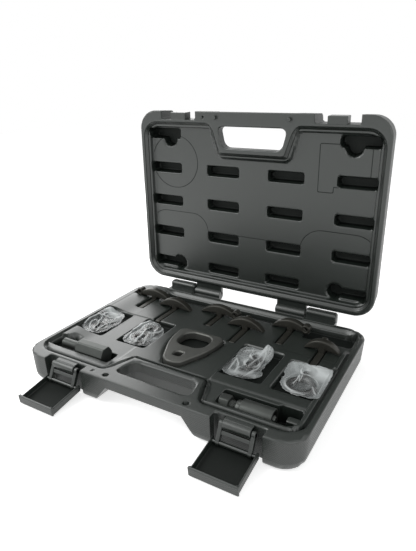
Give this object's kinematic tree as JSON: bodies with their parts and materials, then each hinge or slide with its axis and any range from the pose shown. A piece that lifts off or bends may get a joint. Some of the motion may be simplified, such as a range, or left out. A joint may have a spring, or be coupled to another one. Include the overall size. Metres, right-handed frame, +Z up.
{
  "type": "ball joint separator set in case",
  "caption": "Hinged blow-moulded carrying case with two over-centre latches, holding a ball joint separator: yoke, pressure screw, adapter, puller legs and bagged rings.",
  "frame": {"origin": "centre of the base half's underside", "axes": "+X along the hinge to the right, +Y from the handle to the hinge, +Z up"},
  "size_m": [0.37, 0.3654, 0.3192],
  "materials": {
    "case_plastic": "fine satin, hatched side walls",
    "latch_plastic": "satin",
    "pin_steel": "drawn rod",
    "tool_steel": "dark phosphate, lightly oiled",
    "bag_film": "clear crinkled film",
    "ring_steel": "dark phosphate"
  },
  "bodies": {
    "case_base": {"case_base": "case_plastic", "hinge_pin_left": "pin_steel", "hinge_pin_right": "pin_steel"},
    "case_lid": {"case_lid": "case_plastic", "lid_panel": "case_plastic"},
    "latch_link_left": {"latch_link_left": "latch_plastic"},
    "latch_flap_left": {"latch_flap_left": "latch_plastic"},
    "latch_link_right": {"latch_link_right": "latch_plastic"},
    "latch_flap_right": {"latch_flap_right": "latch_plastic"},
    "yoke_plate": {"yoke_plate": "tool_steel"},
    "hex_adapter": {"hex_adapter": "tool_steel"},
    "screw_sleeve": {"screw_sleeve": "tool_steel"},
    "pressure_screw": {"pressure_screw": "tool_steel"},
    "puller_leg_1": {"puller_leg_1": "tool_steel"},
    "puller_leg_2": {"puller_leg_2": "tool_steel"},
    "puller_leg_3": {"puller_leg_3": "tool_steel"},
    "puller_leg_4": {"puller_leg_4": "tool_steel"},
    "puller_leg_5": {"puller_leg_5": "tool_steel"},
    "puller_leg_6": {"puller_leg_6": "tool_steel"},
    "parts_bag_1": {"parts_bag_1": "bag_film", "ring_1a": "ring_steel", "ring_1b": "ring_steel"},
    "parts_bag_2": {"parts_bag_2": "bag_film", "ring_2a": "ring_steel", "ring_2b": "ring_steel"},
    "parts_bag_3": {"parts_bag_3": "bag_film", "ring_3a": "ring_steel", "ring_3b": "ring_steel", "ring_3c": "ring_steel"},
    "parts_bag_4": {"parts_bag_4": "bag_film", "ring_4a": "ring_steel", "ring_4b": "ring_steel"}
  },
  "joints": [
    {"name": "lid_hinge", "type": "hinge", "parent": "case_base", "child": "case_lid", "pos_m": [0, 0.147, 0.038], "axis": [-1, 0, 0], "range_deg": [-88, 0]},
    {"name": "latch_link_left_swing", "type": "hinge", "parent": "case_base", "child": "latch_link_left", "pos_m": [-0.117, -0.128, 0.031], "axis": [1, 0, 0], "range_deg": [-60, 0]},
    {"name": "latch_flap_left_fold", "type": "hinge", "parent": "latch_link_left", "child": "latch_flap_left", "pos_m": [-0.117, -0.1365, 0.013], "axis": [-1, 0, 0], "range_deg": [0, 98.31]},
    {"name": "latch_link_right_swing", "type": "hinge", "parent": "case_base", "child": "latch_link_right", "pos_m": [0.117, -0.128, 0.031], "axis": [1, 0, 0], "range_deg": [-60, 0]},
    {"name": "latch_flap_right_fold", "type": "hinge", "parent": "latch_link_right", "child": "latch_flap_right", "pos_m": [0.117, -0.1365, 0.013], "axis": [-1, 0, 0], "range_deg": [0, 98.31]},
    {"name": "yoke_plate_lift", "type": "slide", "parent": "case_base", "child": "yoke_plate", "axis": [0, 0, 1], "range_m": [0, 0.06]},
    {"name": "hex_adapter_lift", "type": "slide", "parent": "case_base", "child": "hex_adapter", "axis": [0, 0, 1], "range_m": [0, 0.06]},
    {"name": "screw_sleeve_lift", "type": "slide", "parent": "case_base", "child": "screw_sleeve", "axis": [0, 0, 1], "range_m": [0, 0.06]},
    {"name": "puller_leg_1_lift", "type": "slide", "parent": "case_base", "child": "puller_leg_1", "axis": [0, 0, 1], "range_m": [0, 0.06]},
    {"name": "puller_leg_2_lift", "type": "slide", "parent": "case_base", "child": "puller_leg_2", "axis": [0, 0, 1], "range_m": [0, 0.06]},
    {"name": "puller_leg_3_lift", "type": "slide", "parent": "case_base", "child": "puller_leg_3", "axis": [0, 0, 1], "range_m": [0, 0.06]},
    {"name": "puller_leg_4_lift", "type": "slide", "parent": "case_base", "child": "puller_leg_4", "axis": [0, 0, 1], "range_m": [0, 0.06]},
    {"name": "puller_leg_5_lift", "type": "slide", "parent": "case_base", "child": "puller_leg_5", "axis": [0, 0, 1], "range_m": [0, 0.06]},
    {"name": "puller_leg_6_lift", "type": "slide", "parent": "case_base", "child": "puller_leg_6", "axis": [0, 0, 1], "range_m": [0, 0.06]},
    {"name": "parts_bag_1_lift", "type": "slide", "parent": "case_base", "child": "parts_bag_1", "axis": [0, 0, 1], "range_m": [0, 0.06]},
    {"name": "parts_bag_2_lift", "type": "slide", "parent": "case_base", "child": "parts_bag_2", "axis": [0, 0, 1], "range_m": [0, 0.06]},
    {"name": "parts_bag_3_lift", "type": "slide", "parent": "case_base", "child": "parts_bag_3", "axis": [0, 0, 1], "range_m": [0, 0.06]},
    {"name": "parts_bag_4_lift", "type": "slide", "parent": "case_base", "child": "parts_bag_4", "axis": [0, 0, 1], "range_m": [0, 0.06]},
    {"name": "screw_turn", "type": "hinge", "parent": "screw_sleeve", "child": "pressure_screw", "pos_m": [0.077, -0.088, 0.024], "axis": [1, 0, 0], "continuous": true}
  ]
}
